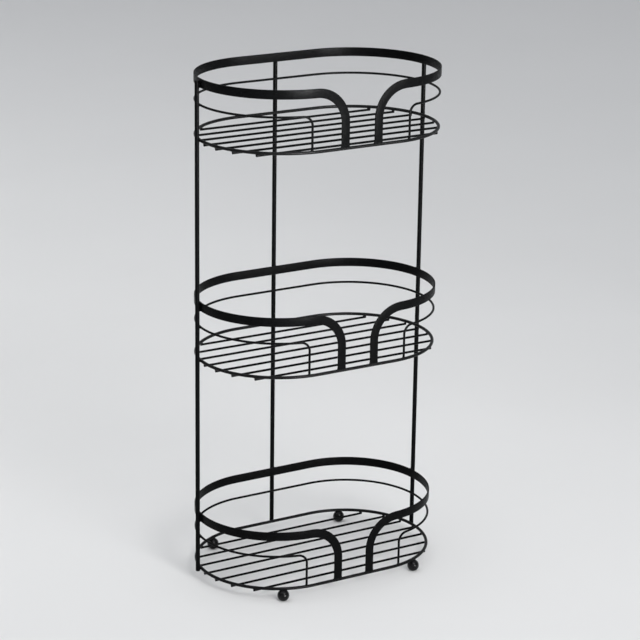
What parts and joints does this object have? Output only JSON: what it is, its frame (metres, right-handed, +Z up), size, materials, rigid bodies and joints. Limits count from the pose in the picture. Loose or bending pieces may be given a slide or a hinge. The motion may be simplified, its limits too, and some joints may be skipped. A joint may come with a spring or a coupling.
{
  "type": "wire storage rack",
  "caption": "Free-standing oval wire rack: stacked open-front baskets with flat rim bands and wire grid floors, on upright posts and ball feet.",
  "frame": {"origin": "middle of the footprint, on the surface that the ball feet stand on", "axes": "+Z up along the posts, +X along the baskets' long axis, -Y towards the baskets' open fronts"},
  "size_m": [0.3766, 0.2453, 0.7455],
  "materials": {
    "ring_coat": "black satin powder coat",
    "wire_coat": "black satin powder coat",
    "band_coat": "black satin powder coat",
    "post_coat": "black satin powder coat",
    "foot_enamel": "black semi-gloss coat"
  },
  "bodies": {
    "root": {"lower_base_ring": "ring_coat", "lower_grid_wire_1": "wire_coat", "lower_grid_wire_2": "wire_coat", "lower_grid_wire_3": "wire_coat", "lower_grid_wire_4": "wire_coat", "lower_grid_wire_5": "wire_coat", "lower_grid_wire_6": "wire_coat", "lower_grid_wire_7": "wire_coat", "lower_mid_wire": "wire_coat", "lower_rim_band": "band_coat", "middle_base_ring": "ring_coat", "middle_grid_wire_1": "wire_coat", "middle_grid_wire_2": "wire_coat", "middle_grid_wire_3": "wire_coat", "middle_grid_wire_4": "wire_coat", "middle_grid_wire_5": "wire_coat", "middle_grid_wire_6": "wire_coat", "middle_grid_wire_7": "wire_coat", "middle_mid_wire": "wire_coat", "middle_rim_band": "band_coat", "upper_base_ring": "ring_coat", "upper_grid_wire_1": "wire_coat", "upper_grid_wire_2": "wire_coat", "upper_grid_wire_3": "wire_coat", "upper_grid_wire_4": "wire_coat", "upper_grid_wire_5": "wire_coat", "upper_grid_wire_6": "wire_coat", "upper_grid_wire_7": "wire_coat", "upper_mid_wire": "wire_coat", "upper_rim_band": "band_coat", "left_post": "post_coat", "right_post": "post_coat", "back_post": "post_coat", "front_left_foot": "foot_enamel", "front_right_foot": "foot_enamel", "back_left_foot": "foot_enamel", "back_right_foot": "foot_enamel"}
  },
  "joints": []
}
